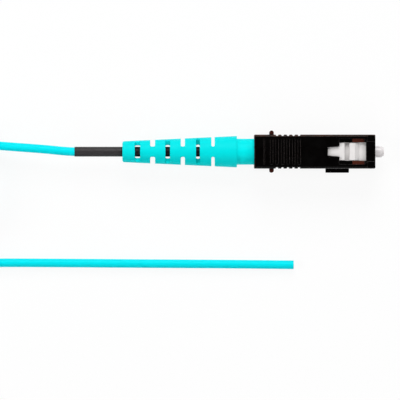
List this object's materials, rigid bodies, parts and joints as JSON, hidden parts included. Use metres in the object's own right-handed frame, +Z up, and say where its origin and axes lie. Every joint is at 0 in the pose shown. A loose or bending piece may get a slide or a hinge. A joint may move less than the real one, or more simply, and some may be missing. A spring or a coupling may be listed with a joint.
{
  "type": "fibre pigtail",
  "caption": "Simplex optical fibre pigtail: square push-pull plug with a ceramic ferrule, slotted strain relief boot, heat-shrink sleeve and thin cable with a bare cut end.",
  "frame": {"origin": "bottom centre of the plug with its boot and sleeve, on the surface that the plug's window face lies on", "axes": "+X along the plug's axis towards the ferrule's tip, +Z up, the key on the -Y side"},
  "size_m": [0.1136, 0.0306, 0.009],
  "materials": {
    "grip": "moulded, slightly glossy edges",
    "frame": "white moulded",
    "ceramic": "polished zirconia",
    "flange": "turned",
    "spring": "drawn wire",
    "stop": "turned, nickel plated",
    "crimp": "drawn",
    "yarn": "aramid strands",
    "boot": "soft moulded, satin",
    "sleeve": "shrunk polyolefin",
    "jacket": "extruded, satin",
    "buffer": "extruded",
    "fibre": "drawn silica",
    "tie": "hook and loop band"
  },
  "bodies": {
    "plug": {"spring": "spring", "plug_frame": "frame", "stop_ring": "stop", "aramid_yarn": "yarn", "crimp_sleeve": "crimp", "boot": "boot", "cable_root": "jacket", "heat_shrink_sleeve": "sleeve", "cable_lead": "jacket", "cable_coil": "jacket", "cable_tail": "jacket", "coil_ties": "tie"},
    "grip": {"outer_housing": "grip"},
    "ferrule": {"ferrule": "ceramic", "ferrule_flange": "flange", "glass_fibre": "fibre", "tight_buffer": "buffer"}
  },
  "joints": [
    {"name": "grip_slide", "type": "slide", "parent": "plug", "child": "grip", "axis": [-1, 0, 0], "range_m": [0, 0.0015]},
    {"name": "ferrule_float", "type": "slide", "parent": "plug", "child": "ferrule", "axis": [-1, 0, 0], "range_m": [0, 0.0012], "stiffness_N_per_m": 1500, "deforming": ["spring"]}
  ]
}
